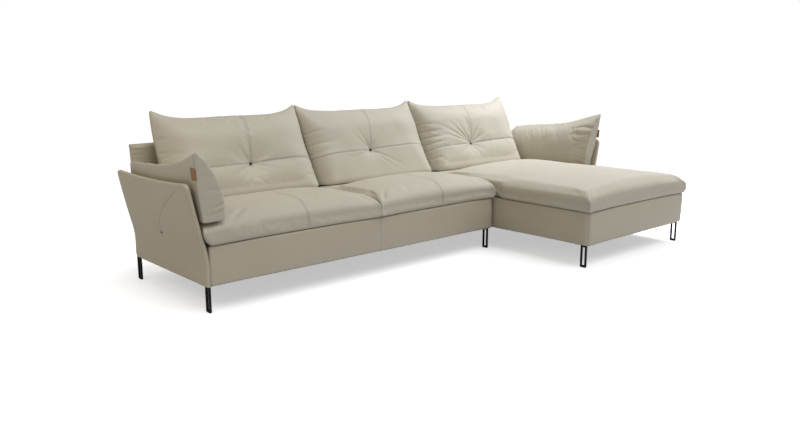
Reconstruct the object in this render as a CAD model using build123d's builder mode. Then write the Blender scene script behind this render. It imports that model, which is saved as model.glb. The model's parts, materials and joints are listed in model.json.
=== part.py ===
from build123d import *
import os
from math import atan2, cos, hypot, radians, sin, tan

# Leather sofa in two sections: a two-seat section with a flared arm on its left, and a chaise with
# a mirrored arm at its right rear. Millimetres, +Z up, the front faces -Y, +X runs along the length.
# The origin is on the floor, in the middle of the whole sofa's length and depth.

# Plan of the two sections
sofa_width = 2041
chaise_width = 1099
section_gap = 10
sofa_depth = 860
chaise_reach = 721
seat_joint = 1078

# Heights from the floor up
leg_height = 136
base_height = 199
back_height = 415

# Padded base and its wooden frame
base_pad = 12
base_corner = 24
base_edge = 6
rail_thickness = 25
block_size = 70
block_height = 60
dust_cover = 2
strap_thickness = 3
strap_width = 60
strap_pitch = 150
strap_grip = 18
deck_thickness = 12

# Legs: flat-bar loops with a top plate
leg_width = 40
leg_depth = 10
leg_bar = 10
leg_plate = 4
leg_inset_x = 24
leg_inset_front = 42
leg_inset_rear = 28
plate_margin = 16
screw_radius = 3
screw_length = 40
screw_head = 3
head_ratio = 2
screw_spread = 34
glide_height = 3

# Arm panels
arm_thickness = 22
arm_rear_gap = 35
arm_height = 504
arm_skin = 5
arm_flare = 86
arm_bend_height = 140
arm_bend_radius = 400
arm_bulge = 4.5
arm_dip = 17
arm_rear_drop = 10
arm_rake = 24
arm_front_corner = 30
arm_rear_corner = 20
arm_edge = 8
arm_bolt_radius = 4
arm_bolt_head = 5
bolt_stop = 2
arm_bolt_rise = 80
arm_bolt_first = 190
arm_bolt_pitch = 230
pin_depth = 438
pin_rise = 201
pin_radius = 5
pin_height = 2
pin_recess = 3

# Back panels
back_thickness = 50
back_lean = 50
back_board = 15
back_board_corner = 4
back_margin = 14
back_top_radius = 20
back_end_radius = 12
back_end_gap = 9
back_pin_radius = 4
back_pin_depth = 60
back_pin_pitch = 450

# Drop-in connectors between the sections
connector_plate = 2
connector_width = 70
connector_height = 60
connector_lip = 14
connector_play = 0.4
connector_rise = 70
connector_first = 210
connector_pitch = 430

# Seat cushions
seat_side = 108
seat_crown = 40
seat_overhang = 16
seat_bow = 7
seat_tuck = 15
seat_dome = 240
seat_fall = 440
belly_steps = 4
crown_steps = 3
seat_gap = 3
seat_rear_gap = 4
rest_rise = 6
press_depth = 73

# Back cushions, on a plane that leans back
back_cushion_height = 552
back_cushion_front = 115
back_cushion_rear = 88
back_cushion_lean = 25
back_cushion_foot = 207
back_cushion_sink = 26
back_cushion_bow = 16
back_cushion_sag = 58
back_cushion_gap = 3
pillow_side = 180
pillow_top = 160
pillow_foot = 50
pillow_shoulder = 0.42
pillow_belly = 0.7
pillow_swell = 30
tuft_places = {"left": (14, 176), "middle": (-47, 192), "right": (-76, 168)}
tuft_radius = 85
tuft_depth = 30
tuft_hollow = 0.75
channel_width = 9
channel_depth = 9
button_radius = 8
button_height = 4

# Arm cushions
arm_cushion_front = -14
arm_cushion_length = 754
arm_cushion_offset = -8
arm_cushion_width = 112
arm_cushion_height = 350
arm_cushion_ridge = 266
arm_cushion_rear = 246
arm_cushion_lean = 32
arm_cushion_tilt = 1
arm_cushion_belly = 50
arm_cushion_swell = 8
arm_cushion_room = 21
arm_cushion_stations = (0, 0.15, 0.5, 0.88, 1)
arm_cushion_nose = 0.97
arm_cushion_tail = 0.85
arm_cushion_tail_drop = 20
tag_height = 56
tag_width = 45
tag_thickness = 3
tag_corner = 3
tag_recess = 1.5
tag_margin = 3
tag_drop = 118

# Gap left between soft pieces and what they rest on, and play around fixings
rest_gap = 0.3
hole_play = 0.2

# Lines that the pieces share
half_length = (sofa_width + section_gap + chaise_width) / 2
left_x = -half_length
right_x = half_length
sofa_right = left_x + sofa_width
chaise_left = sofa_right + section_gap
back_slope = atan2(back_lean, back_height)
back_reach = back_lean * (1 - back_top_radius / back_height) - back_top_radius * (1 / cos(back_slope) - 1)
front_y = (chaise_reach + seat_overhang - sofa_depth - back_reach) / 2
rear_y = front_y + sofa_depth
chaise_front = front_y - chaise_reach
base_top = leg_height + base_height
plate_bottom = leg_height - leg_plate
rail_bottom = leg_height + dust_cover
rail_top = base_top - deck_thickness - strap_thickness
seat_bottom = base_top + rest_gap
rest_z = seat_bottom + seat_side + rest_rise
frame_inset = arm_thickness + base_pad
arm_length = sofa_depth - arm_rear_gap
rail_inset = frame_inset + rail_thickness
back_foot_y = rear_y - back_thickness - back_cushion_foot

os.makedirs("parts", exist_ok=True)


def save(piece, name):
    """Label a finished piece and write it under its own name."""
    piece.part.label = name
    export_step(piece.part, f"parts/{name}.step")


def from_end(side, inward):
    """X at a distance in from the outer face of the left arm (side 1) or the right arm (side -1)."""
    return side * (inward - half_length)


def slab(low, high, mode=Mode.ADD):
    """A box between two opposite corners, joined to the piece being built."""
    middle = tuple((a + b) / 2 for a, b in zip(low, high))
    size = tuple(abs(b - a) for a, b in zip(low, high))
    with Locations(middle):
        Box(*size, mode=mode)


def rods(radius, start, end, spots, axis, mode=Mode.ADD):
    """Round bars or holes along X or Z, from start to end, through each spot of the other two axes."""
    middle = (start + end) / 2
    length = abs(end - start)
    for first, second in spots:
        place = Location((middle, first, second), (0, 90, 0))
        if axis == "Z":
            place = Location((first, second, middle))
        with Locations(place):
            Cylinder(radius, length, mode=mode)


def four_arcs(x0, x1, y0, y1, bow, sag):
    """A four-cornered outline of arcs, drawn in by bow, and by sag at y1, or swelling where negative."""
    middle_x = (x0 + x1) / 2
    middle_y = (y0 + y1) / 2
    ThreePointArc((x0, y0), (middle_x, y0 + bow), (x1, y0))
    ThreePointArc((x1, y0), (x1 - bow, middle_y), (x1, y1))
    ThreePointArc((x1, y1), (middle_x, y1 - sag), (x0, y1))
    ThreePointArc((x0, y1), (x0 + bow, middle_y), (x0, y0))


# Inside of each base cover: low X, high X, low Y, high Y
sofa_frame = (left_x + frame_inset, sofa_right - base_pad, front_y + base_pad, rear_y - base_pad)
chaise_frame = (chaise_left + base_pad, right_x - frame_inset, chaise_front + base_pad, rear_y - base_pad)

# Fixing places
arm_bolts = [(front_y + arm_bolt_first + k * arm_bolt_pitch, leg_height + arm_bolt_rise) for k in range(3)]
connectors = [front_y + connector_first + k * connector_pitch for k in range(2)]
back_pin_y = rear_y - back_thickness / 2


def evenly(low, high, pitch):
    """Middles of as many equal spaces, about pitch wide, as fit between low and high."""
    count = max(2, round((high - low) / pitch))
    return [low + (k + 0.5) * (high - low) / count for k in range(count)]


sofa_straps = evenly(sofa_frame[0] + rail_thickness, sofa_frame[1] - rail_thickness, strap_pitch)
sofa_strap_step = sofa_straps[1] - sofa_straps[0]
chaise_straps = evenly(chaise_frame[2] + rail_thickness, chaise_frame[3] - rail_thickness, strap_pitch)
chaise_strap_step = chaise_straps[1] - chaise_straps[0]
sofa_back_pins = [(x + sofa_strap_step / 2, back_pin_y) for x in sofa_straps[1:-1:3]]
chaise_back_pins = [
    (x, back_pin_y)
    for x in evenly(chaise_frame[0] + rail_thickness, chaise_frame[1] - rail_thickness, back_pin_pitch)
]


def base_corners(frame, inset_left, inset_right):
    """The four legs' places: name, X, Y and the inner corner of the rails that each leg's block fills."""
    x0, x1, y0, y1 = frame
    outer_left = x0 - inset_left + leg_inset_x
    outer_right = x1 + inset_right - leg_inset_x
    front = y0 - base_pad + leg_inset_front
    rear = y1 + base_pad - leg_inset_rear
    return [
        ("front_left", outer_left, front, x0 + rail_thickness, y0 + rail_thickness, 1, 1),
        ("front_right", outer_right, front, x1 - rail_thickness, y0 + rail_thickness, -1, 1),
        ("rear_left", outer_left, rear, x0 + rail_thickness, y1 - rail_thickness, 1, -1),
        ("rear_right", outer_right, rear, x1 - rail_thickness, y1 - rail_thickness, -1, -1),
    ]


sofa_corners = base_corners(sofa_frame, frame_inset, base_pad)
chaise_corners = base_corners(chaise_frame, base_pad, frame_inset)


def screw_spots(corners):
    """Two screws for each leg, up into the middle of its corner block."""
    spots = []
    for _, _, _, x, y, to_x, to_y in corners:
        for spread in (-0.5, 0.5):
            spots.append((x + to_x * block_size / 2, y + to_y * block_size / 2 + spread * screw_spread))
    return spots


def base_parts(prefix, arm_side, frame, corners, pins, straps, straps_along_x):
    """Blocks, webbing, deck, dust cover, legs, glides and fixings, which both sections have."""
    x0, x1, y0, y1 = frame
    screws = screw_spots(corners)

    with BuildPart() as blocks:
        for _, _, _, x, y, to_x, to_y in corners:
            slab(
                (x, y, rail_bottom),
                (x + to_x * block_size, y + to_y * block_size, rail_bottom + block_height),
            )
        rods(screw_radius, rail_bottom, rail_bottom + screw_length, screws, "Z", Mode.SUBTRACT)
    save(blocks, f"{prefix}_corner_blocks")

    with BuildPart() as webbing:
        for place in straps:
            low = (place - strap_width / 2, y0 + rail_thickness - strap_grip)
            high = (place + strap_width / 2, y1 - rail_thickness + strap_grip)
            if straps_along_x:
                low = (x0 + rail_thickness - strap_grip, place - strap_width / 2)
                high = (x1 - rail_thickness + strap_grip, place + strap_width / 2)
            slab((*low, rail_top), (*high, rail_top + strap_thickness))
    save(webbing, f"{prefix}_webbing")

    with BuildPart() as deck:
        slab((x0, y0, base_top - deck_thickness), (x1, y1, base_top))
        rods(back_pin_radius + hole_play, base_top - deck_thickness, base_top, pins, "Z", Mode.SUBTRACT)
    save(deck, f"{prefix}_deck_pad")

    with BuildPart() as cloth:
        slab((x0, y0, leg_height), (x1, y1, rail_bottom))
        rods(screw_radius + hole_play, leg_height, rail_bottom, screws, "Z", Mode.SUBTRACT)
    save(cloth, f"{prefix}_dust_cover")

    for name, leg_x, leg_y, x, y, to_x, to_y in corners:
        with BuildPart() as leg:
            with BuildSketch(Plane.YZ.offset(leg_x - leg_depth / 2)):
                loop_height = plate_bottom - glide_height
                with Locations((leg_y, glide_height + loop_height / 2)):
                    Rectangle(leg_width, loop_height)
                    Rectangle(leg_width - 2 * leg_bar, loop_height - 2 * leg_bar, mode=Mode.SUBTRACT)
            extrude(amount=leg_depth)
            plate_low = (leg_x - to_x * leg_depth / 2, leg_y - to_y * leg_width / 2)
            plate_high = (
                x + to_x * (block_size / 2 + plate_margin),
                y + to_y * (block_size / 2 + screw_spread / 2 + plate_margin),
            )
            slab((*plate_low, plate_bottom), (*plate_high, leg_height))
            rods(screw_radius + hole_play, 0, leg_height, screws, "Z", Mode.SUBTRACT)
        save(leg, f"{prefix}_leg_{name}")

    bolt_end = from_end(arm_side, arm_skin + bolt_stop)
    rail_face = from_end(arm_side, rail_inset)
    with BuildPart() as fixings:
        rods(screw_radius, plate_bottom, rail_bottom + screw_length, screws, "Z")
        rods(head_ratio * screw_radius, plate_bottom - screw_head, plate_bottom, screws, "Z")
        rods(arm_bolt_radius, bolt_end, rail_face, arm_bolts, "X")
        rods(head_ratio * arm_bolt_radius, rail_face, rail_face + arm_side * arm_bolt_head, arm_bolts, "X")
    save(fixings, f"{prefix}_fixings")

    with BuildPart() as glides:
        for _, leg_x, leg_y, *_ in corners:
            with BuildSketch(Plane.XY):
                with Locations((leg_x, leg_y)):
                    SlotOverall(leg_width, leg_depth, rotation=90)
            extrude(amount=glide_height)
    save(glides, f"{prefix}_glides")

    with BuildPart() as dowels:
        rods(back_pin_radius, rail_top - back_pin_depth, base_top + back_pin_depth, pins, "Z")
    save(dowels, f"{prefix}_back_pins")


base_parts("sofa", 1, sofa_frame, sofa_corners, sofa_back_pins, sofa_straps, False)
base_parts("chaise", -1, chaise_frame, chaise_corners, chaise_back_pins, chaise_straps, True)


# Frame rails: the front and rear ones run between the side rails
def rail(name, x0, x1, y0, y1, bolts=(), pins=()):
    """One wooden rail, with clearance holes for arm bolts and snug holes for back pins."""
    with BuildPart() as board:
        slab((x0, y0, rail_bottom), (x1, y1, rail_top))
        rods(arm_bolt_radius + hole_play, x0, x1, bolts, "X", Mode.SUBTRACT)
        rods(back_pin_radius, rail_top - back_pin_depth, rail_top, pins, "Z", Mode.SUBTRACT)
    save(board, name)


for prefix, frame, pins, left_bolts, right_bolts in (
    ("sofa", sofa_frame, sofa_back_pins, arm_bolts, ()),
    ("chaise", chaise_frame, chaise_back_pins, (), arm_bolts),
):
    x0, x1, y0, y1 = frame
    in_x0 = x0 + rail_thickness
    in_x1 = x1 - rail_thickness
    rail(f"{prefix}_front_rail", in_x0, in_x1, y0, y0 + rail_thickness)
    rail(f"{prefix}_rear_rail", in_x0, in_x1, y1 - rail_thickness, y1, pins=pins)
    rail(f"{prefix}_left_rail", x0, in_x0, y0, y1, bolts=left_bolts)
    rail(f"{prefix}_right_rail", in_x1, x1, y0, y1, bolts=right_bolts)

# Centre rails stand between two straps, under the seat joint and across the chaise
sofa_centre = sofa_straps[len(sofa_straps) // 2 - 1] + sofa_strap_step / 2 - rail_thickness / 2
rail(
    "sofa_centre_rail",
    sofa_centre,
    sofa_centre + rail_thickness,
    sofa_frame[2] + rail_thickness,
    sofa_frame[3] - rail_thickness,
)
chaise_centre = chaise_straps[len(chaise_straps) // 2 - 1] + chaise_strap_step / 2 - rail_thickness / 2
rail(
    "chaise_centre_rail",
    chaise_frame[0] + rail_thickness,
    chaise_frame[1] - rail_thickness,
    chaise_centre,
    chaise_centre + rail_thickness,
)

# Base covers: padded leather walls round the frames, flush with the arm panels
with BuildPart() as sofa_base_cover:
    with BuildSketch(Plane.XY.offset(leg_height)) as sofa_plan:
        with BuildLine():
            Polyline(
                (left_x + arm_thickness, front_y),
                (sofa_right, front_y),
                (sofa_right, rear_y),
                (left_x + arm_thickness, rear_y),
                close=True,
            )
        make_face()
        fillet(sofa_plan.vertices().group_by(Axis.X)[-1], radius=base_corner)
        fillet(sofa_plan.vertices().group_by(Axis.X)[0], radius=base_edge)
    extrude(amount=base_height)
    fillet(sofa_base_cover.faces().sort_by(Axis.Z)[-1].edges(), radius=base_edge)
    fillet(sofa_base_cover.faces().sort_by(Axis.Z)[0].edges(), radius=base_edge)
    slab((sofa_frame[0], sofa_frame[2], leg_height), (sofa_frame[1], sofa_frame[3], base_top), Mode.SUBTRACT)
    rods(arm_bolt_radius + hole_play, left_x, sofa_frame[0], arm_bolts, "X", Mode.SUBTRACT)
save(sofa_base_cover, "sofa_base_cover")

with BuildPart() as chaise_base_cover:
    with BuildSketch(Plane.XY.offset(leg_height)) as chaise_plan:
        with BuildLine():
            Polyline(
                (chaise_left, chaise_front),
                (right_x, chaise_front),
                (right_x, front_y - seat_gap),
                (right_x - arm_thickness, front_y - seat_gap),
                (right_x - arm_thickness, rear_y),
                (chaise_left, rear_y),
                close=True,
            )
        make_face()
        fillet(chaise_plan.vertices().group_by(Axis.Y)[0], radius=base_corner)
        fillet(chaise_plan.vertices().group_by(Axis.Y)[-1], radius=base_edge)
    extrude(amount=base_height)
    fillet(chaise_base_cover.faces().sort_by(Axis.Z)[-1].edges(), radius=base_edge)
    fillet(chaise_base_cover.faces().sort_by(Axis.Z)[0].edges(), radius=base_edge)
    slab(
        (chaise_frame[0], chaise_frame[2], leg_height),
        (chaise_frame[1], chaise_frame[3], base_top),
        Mode.SUBTRACT,
    )
    rods(arm_bolt_radius + hole_play, chaise_frame[1], right_x, arm_bolts, "X", Mode.SUBTRACT)
save(chaise_base_cover, "chaise_base_cover")

# Arm panels: upright beside the base, then bent out in a shallow curve, with a dipped top edge
arm_top = leg_height + arm_height
bend_z = leg_height + arm_bend_height
arm_angle = atan2(arm_flare, arm_top - bend_z)


def arm_face(side, depth):
    """Foot, bend, middle and top of the arm's outer face, moved in through the panel by depth."""
    bend = (depth, bend_z + depth * tan(arm_angle / 2))
    top = (depth * cos(arm_angle) - arm_flare, arm_top + depth * sin(arm_angle))
    middle_x = (bend[0] + top[0]) / 2 - arm_bulge * cos(arm_angle)
    middle_z = (bend[1] + top[1]) / 2 - arm_bulge * sin(arm_angle)
    points = [(depth, leg_height), bend, (middle_x, middle_z), top]
    return [(from_end(side, x), z) for x, z in points]


def arm_body(side, outer, inner, margin):
    """The panel between two depths, with its front, top and rear edges drawn in by margin."""
    foot_a, bend_a, middle_a, top_a = arm_face(side, outer)
    foot_b, bend_b, middle_b, top_b = arm_face(side, inner)
    front = front_y + margin
    rear = front_y + arm_length - margin
    top = arm_top - margin
    with BuildPart() as body:
        with BuildSketch(Plane.XZ.offset(-rear)) as section:
            with BuildLine():
                Line(foot_a, bend_a)
                ThreePointArc(bend_a, middle_a, top_a)
                Line(top_a, top_b)
                ThreePointArc(top_b, middle_b, bend_b)
                Line(bend_b, foot_b)
                Line(foot_b, foot_a)
            make_face()
            fillet(section.vertices().sort_by(Axis.Y)[2:4], radius=arm_bend_radius)
        extrude(amount=rear - front)
        with BuildSketch(Plane.YZ.offset(min(top_a[0], foot_b[0]))) as outline:
            with BuildLine():
                Line((front, leg_height), (front, top))
                ThreePointArc(
                    (front, top),
                    ((front + rear) / 2, top - arm_dip),
                    (rear - arm_rake, top - arm_rear_drop),
                )
                Line((rear - arm_rake, top - arm_rear_drop), (rear, leg_height))
                Line((rear, leg_height), (front, leg_height))
            make_face()
            fillet(outline.vertices().sort_by_distance((front, top))[:1], radius=arm_front_corner)
            fillet(outline.vertices().sort_by_distance((rear, leg_height))[:1], radius=arm_rear_corner)
            fillet(outline.vertices().sort_by_distance((rear, top))[:1], radius=arm_rear_corner)
        extrude(amount=abs(foot_b[0] - top_a[0]), mode=Mode.INTERSECT)
    return body


def arm_panel(side, name):
    """Board, padded leather cover and pin of one arm."""
    inner = arm_thickness - arm_skin
    board_face = from_end(side, inner)
    bolt_end = from_end(side, arm_skin + bolt_stop)

    board = arm_body(side, arm_skin, inner, arm_edge)
    with BuildPart() as board_drilled:
        add(board.part)
        rods(arm_bolt_radius, bolt_end, board_face, arm_bolts, "X", Mode.SUBTRACT)
    save(board_drilled, f"{name}_arm_board")

    panel = arm_body(side, 0, arm_thickness, 0)
    pin_z = leg_height + pin_rise
    pin_share = (pin_z - bend_z) / (arm_top - bend_z)
    pin_out = arm_flare * pin_share + 4 * arm_bulge * pin_share * (1 - pin_share)
    pin_face = from_end(side, pin_recess - pin_out)
    pin_spot = [(front_y + pin_depth, pin_z)]
    with BuildPart() as cover:
        add(panel.part)
        rims = cover.edges().filter_by(Axis.X, reverse=True).filter_by(Axis.Y, reverse=True)
        fillet(rims, radius=arm_edge)
        add(board.part, mode=Mode.SUBTRACT)
        rods(
            arm_bolt_radius + hole_play,
            bolt_end,
            from_end(side, arm_thickness),
            arm_bolts,
            "X",
            Mode.SUBTRACT,
        )
        rods(pin_radius + hole_play, from_end(side, -arm_flare), pin_face, pin_spot, "X", Mode.SUBTRACT)
    save(cover, f"{name}_arm_cover")

    with BuildPart() as pin:
        rods(pin_radius, pin_face, pin_face - side * pin_height, pin_spot, "X")
        fillet(pin.faces().sort_by(Axis.X)[0 if side > 0 else -1].edges(), radius=pin_height / 2)
    save(pin, f"{name}_arm_pin")


arm_panel(1, "left")
arm_panel(-1, "right")


# Back panels stand on the rear of each base and lean back
def back_body(x0, x1, front, rear, top, corner):
    """A leaning slab between two depths ahead of the back's rear face, up to top above the base."""
    shift = top * tan(back_slope)
    with BuildPart() as body:
        with BuildSketch(Plane.YZ.offset(x0)) as section:
            with BuildLine():
                Polyline(
                    (rear_y - front, base_top),
                    (rear_y - rear, base_top),
                    (rear_y - rear + shift, base_top + top),
                    (rear_y - front + shift, base_top + top),
                    close=True,
                )
            make_face()
            fillet(section.vertices().group_by(Axis.Y)[-1], radius=corner)
        extrude(amount=x1 - x0)
    return body


def back_panel(prefix, x0, x1, pins):
    """Board and padded leather cover of one back panel."""
    middle = back_thickness / 2
    board = back_body(
        x0 + back_margin,
        x1 - back_margin,
        middle + back_board / 2,
        middle - back_board / 2,
        back_height - back_margin,
        back_board_corner,
    )
    with BuildPart() as board_drilled:
        add(board.part)
        rods(back_pin_radius, base_top, base_top + back_pin_depth, pins, "Z", Mode.SUBTRACT)
    save(board_drilled, f"{prefix}_back_board")

    panel = back_body(x0, x1, back_thickness, 0, back_height, back_top_radius)
    with BuildPart() as cover:
        add(panel.part)
        ends = cover.faces().filter_by(Axis.X)
        rims = ends.edges().filter_by(lambda edge: edge.center().Z > base_top + back_end_radius)
        fillet(rims, radius=back_end_radius)
        add(board.part, mode=Mode.SUBTRACT)
        rods(back_pin_radius + hole_play, base_top, base_top + back_pin_depth, pins, "Z", Mode.SUBTRACT)
    save(cover, f"{prefix}_back_cover")


back_panel("sofa", left_x + arm_thickness + back_end_gap, sofa_right, sofa_back_pins)
back_panel("chaise", chaise_left, right_x - arm_thickness - back_end_gap, chaise_back_pins)

# Connectors: channels on the sofa's end, and tongues on the chaise that drop into them
connector_depth = section_gap - connector_plate - connector_play
connector_low = leg_height + connector_rise
with BuildPart() as sofa_connectors:
    for y in connectors:
        low = (sofa_right, y - connector_width / 2, connector_low)
        high = (sofa_right + connector_depth, y + connector_width / 2, connector_low + connector_height)
        slab(low, high)
        slot_x0 = sofa_right + connector_plate
        slot_x1 = sofa_right + connector_depth - connector_plate
        slot_y = connector_width / 2 - connector_plate
        slab((slot_x0, y - slot_y, low[2]), (slot_x1, y + slot_y, high[2]), Mode.SUBTRACT)
        mouth_y = connector_width / 2 - connector_lip
        slab((slot_x1, y - mouth_y, low[2]), (high[0], y + mouth_y, high[2]), Mode.SUBTRACT)
save(sofa_connectors, "sofa_connectors")

with BuildPart() as chaise_connectors:
    for y in connectors:
        low_z = connector_low
        high_z = connector_low + connector_height
        slab(
            (chaise_left - connector_plate, y - connector_width / 2, low_z),
            (chaise_left, y + connector_width / 2, high_z),
        )
        web_y = connector_width / 2 - connector_lip - connector_play
        tongue_x0 = sofa_right + connector_plate + connector_play
        tongue_x1 = sofa_right + connector_depth - connector_plate - connector_play
        slab((tongue_x0, y - web_y, low_z), (chaise_left - connector_plate, y + web_y, high_z))
        tongue_y = connector_width / 2 - connector_plate - connector_play
        slab((tongue_x0, y - tongue_y, low_z), (tongue_x1, y + tongue_y, high_z))
save(chaise_connectors, "chaise_connectors")


# Seat cushions: a boxed side that bellies out, and a crown that falls away towards the back cushion
def seat_cushion(name, x0, x1, y0, arm_side=0):
    """One seat cushion, pressed flat under the cushions that stand on it."""
    y1 = rear_y - back_thickness - seat_rear_gap
    # Each section has its height and how far the front and sides, and the rear, are drawn in
    belly = []
    for step in range(belly_steps + 1):
        share = step / belly_steps
        inset = seat_tuck * (2 * share - 1) ** 2
        belly.append((share * seat_side, inset, inset))
    crown = []
    for step in range(crown_steps + 1):
        share = step / crown_steps
        rise = 1 - (1 - share) ** 2
        inset = seat_tuck + share * (seat_dome - seat_tuck)
        rear_inset = seat_tuck + rise * (seat_fall - seat_tuck)
        crown.append((seat_side + rise * seat_crown, inset, rear_inset))
    with BuildPart() as cushion:
        for sections in (belly, crown):
            for rise, inset, rear_inset in sections:
                with BuildSketch(Plane.XY.offset(seat_bottom + rise)):
                    with BuildLine():
                        four_arcs(x0 + inset, x1 - inset, y0 + inset, y1 - rear_inset, seat_bow, seat_bow)
                    make_face()
            loft()
        over = rest_z + seat_crown
        slab((x0, back_foot_y - press_depth, rest_z), (x1, rear_y, over), Mode.SUBTRACT)
        if arm_side:
            near = from_end(arm_side, 0)
            far = from_end(arm_side, arm_cushion_offset + arm_cushion_width + arm_cushion_room)
            press_front = front_y + arm_cushion_front - arm_cushion_room
            slab((near, press_front, rest_z), (far, rear_y, over), Mode.SUBTRACT)
    save(cushion, name)


seat_left = left_x + arm_thickness + seat_gap
seat_right = right_x - arm_thickness - seat_gap
middle_x = left_x + seat_joint
seat_cushion("seat_cushion_left", seat_left, middle_x - seat_gap, front_y - seat_overhang, 1)
seat_cushion("seat_cushion_middle", middle_x + seat_gap, sofa_right, front_y - seat_overhang)
seat_cushion("chaise_cushion", chaise_left, seat_right, chaise_front - seat_overhang, -1)

# Back cushions: pillows on a leaning plane, drawn in at one button, with sewn channels up and across
lean = radians(back_cushion_lean)
pillow_up = (0, sin(lean), cos(lean))
pillow_out = (0, -cos(lean), sin(lean))


def pillow(width, plane, front):
    """A pillow lofted from its rear face through its seam to its front face."""
    # Share of the thickness, and share of the flat face's inset at that depth
    sections = [(-1, 1), (-pillow_belly, pillow_shoulder), (0, 0), (pillow_belly, pillow_shoulder), (1, 1)]
    with BuildPart() as body:
        for depth, share in sections:
            offset = depth * (front if depth > 0 else back_cushion_rear)
            with BuildSketch(plane.offset(offset)):
                with BuildLine():
                    four_arcs(
                        share * pillow_side - width / 2,
                        width / 2 - share * pillow_side,
                        share * pillow_foot,
                        back_cushion_height - share * pillow_top,
                        back_cushion_bow - share * (back_cushion_bow + pillow_swell),
                        back_cushion_sag - share * (back_cushion_sag + pillow_swell),
                    )
                make_face()
        loft()
    return body


def back_cushion(name, x0, x1):
    """One back cushion with its tuft and channels, cut flat where it stands on the seat, and its button."""
    width = x1 - x0
    foot = Vector((x0 + x1) / 2, back_foot_y, rest_z + rest_gap - back_cushion_sink)
    plane = Plane(origin=foot, x_dir=(1, 0, 0), z_dir=pillow_out)
    tuft_shift, tuft_height = tuft_places[name]
    tuft = foot + Vector(tuft_shift, 0, 0) + Vector(pillow_up) * tuft_height
    tuft_plane = Plane(origin=tuft, x_dir=(1, 0, 0), z_dir=Vector(pillow_up) * -1)
    floor = back_cushion_front - tuft_depth
    core = pillow(width, plane, back_cushion_front - channel_depth)
    shell = pillow(width, plane, back_cushion_front)

    with BuildPart() as channels:
        with BuildSketch(plane.offset(back_cushion_front / 4)):
            rise = back_cushion_height - tuft_height
            with Locations((tuft_shift, tuft_height + rise / 2)):
                Rectangle(channel_width, rise)
            with Locations((0, tuft_height)):
                Rectangle(width, channel_width)
        extrude(amount=back_cushion_front)
        add(core.part, mode=Mode.SUBTRACT)

    with BuildPart() as cushion:
        add(shell.part)
        add(channels.part, mode=Mode.SUBTRACT)
        with BuildSketch(tuft_plane):
            with BuildLine():
                rim = button_radius + hole_play
                edge = (tuft_radius, back_cushion_front)
                Line((0, floor), (rim, floor))
                ThreePointArc((rim, floor), ((rim + tuft_radius) / 2, floor + tuft_hollow * tuft_depth), edge)
                Line(edge, (tuft_radius, back_cushion_front + tuft_depth))
                Line((tuft_radius, back_cushion_front + tuft_depth), (0, back_cushion_front + tuft_depth))
                Line((0, back_cushion_front + tuft_depth), (0, floor))
            make_face()
        revolve(axis=Axis(tuft, pillow_out), mode=Mode.SUBTRACT)
        split(bisect_by=Plane.XY.offset(rest_z + rest_gap), keep=Keep.TOP)
    save(cushion, f"back_cushion_{name}")

    with BuildPart() as button:
        with BuildSketch(plane.offset(floor)):
            with Locations((tuft_shift, tuft_height)):
                Circle(button_radius)
        extrude(amount=button_height)
        fillet(button.edges().sort_by(Axis(tuft, pillow_out))[-1], radius=button_height / 2)
    save(button, f"back_button_{name}")


back_end = arm_cushion_offset + arm_cushion_width + arm_cushion_room + back_cushion_gap
back_cushion("left", from_end(1, back_end), middle_x - back_cushion_gap)
back_cushion("middle", middle_x + back_cushion_gap, sofa_right)
back_cushion("right", chaise_left, from_end(-1, back_end))


# Arm cushions: wedges with a gusset at the front, whose ridge sags between a high front and the rear
def arm_cushion(side, name):
    """One arm cushion standing on the seat beside the arm, and its bare leather tab."""
    foot_z = rest_z + rest_gap
    nose_y = front_y + arm_cushion_front
    # Lean of each section, height of its ridge, share of the full width
    sections = [
        (radians(arm_cushion_tilt), arm_cushion_height, arm_cushion_nose),
        (0, (arm_cushion_height + arm_cushion_ridge) / 2, 1),
        (0, arm_cushion_ridge, 1),
        (0, arm_cushion_rear, 1),
        (0, arm_cushion_rear - arm_cushion_tail_drop, arm_cushion_tail),
    ]
    with BuildPart() as cushion:
        for share, (tilt, height, fullness) in zip(arm_cushion_stations, sections):
            origin = (0, nose_y + share * arm_cushion_length, foot_z)
            width = fullness * arm_cushion_width
            tip = -fullness * arm_cushion_lean
            chord = hypot(width - tip, height)
            belly = fullness * arm_cushion_belly / chord
            hollow = arm_cushion_swell / chord
            belly_point = ((width + tip) / 2 + belly * height, height / 2 + belly * (width - tip))
            rear_point = (tip / 2 - hollow * height, height / 2)
            with BuildSketch(Plane(origin=origin, x_dir=(1, 0, 0), z_dir=(0, -cos(tilt), -sin(tilt)))):
                with BuildLine():
                    corners = [(0, 0), (width, 0), belly_point, (tip, height), rear_point]
                    places = [(from_end(side, arm_cushion_offset + x), z) for x, z in corners]
                    Line(places[0], places[1])
                    ThreePointArc(places[1], places[2], places[3])
                    ThreePointArc(places[3], places[4], places[0])
                make_face()
        loft()
        rise = arm_cushion_height - tag_drop
        share = rise / arm_cushion_height
        out = arm_cushion_lean * share + 4 * arm_cushion_swell * share * (1 - share)
        slope = atan2(arm_cushion_lean, arm_cushion_height)
        tag_plane = Plane(
            origin=(
                from_end(side, arm_cushion_offset - out + tag_recess),
                nose_y - rise * tan(radians(arm_cushion_tilt)) + tag_width / 2 + tag_margin,
                foot_z + rise,
            ),
            x_dir=(0, 1, 0),
            z_dir=(-side * cos(slope), 0, -sin(slope)),
        )
        with BuildSketch(tag_plane):
            Rectangle(tag_width + 2 * hole_play, tag_height + 2 * hole_play)
        extrude(amount=arm_cushion_lean, mode=Mode.SUBTRACT)
    save(cushion, f"arm_cushion_{name}")

    with BuildPart() as tag:
        with BuildSketch(tag_plane):
            RectangleRounded(tag_width, tag_height, tag_corner)
        extrude(amount=tag_thickness)
    save(tag, f"arm_tag_{name}")


arm_cushion(1, "left")
arm_cushion(-1, "right")
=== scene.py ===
import json
from math import cos, pi, radians, sin

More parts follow.
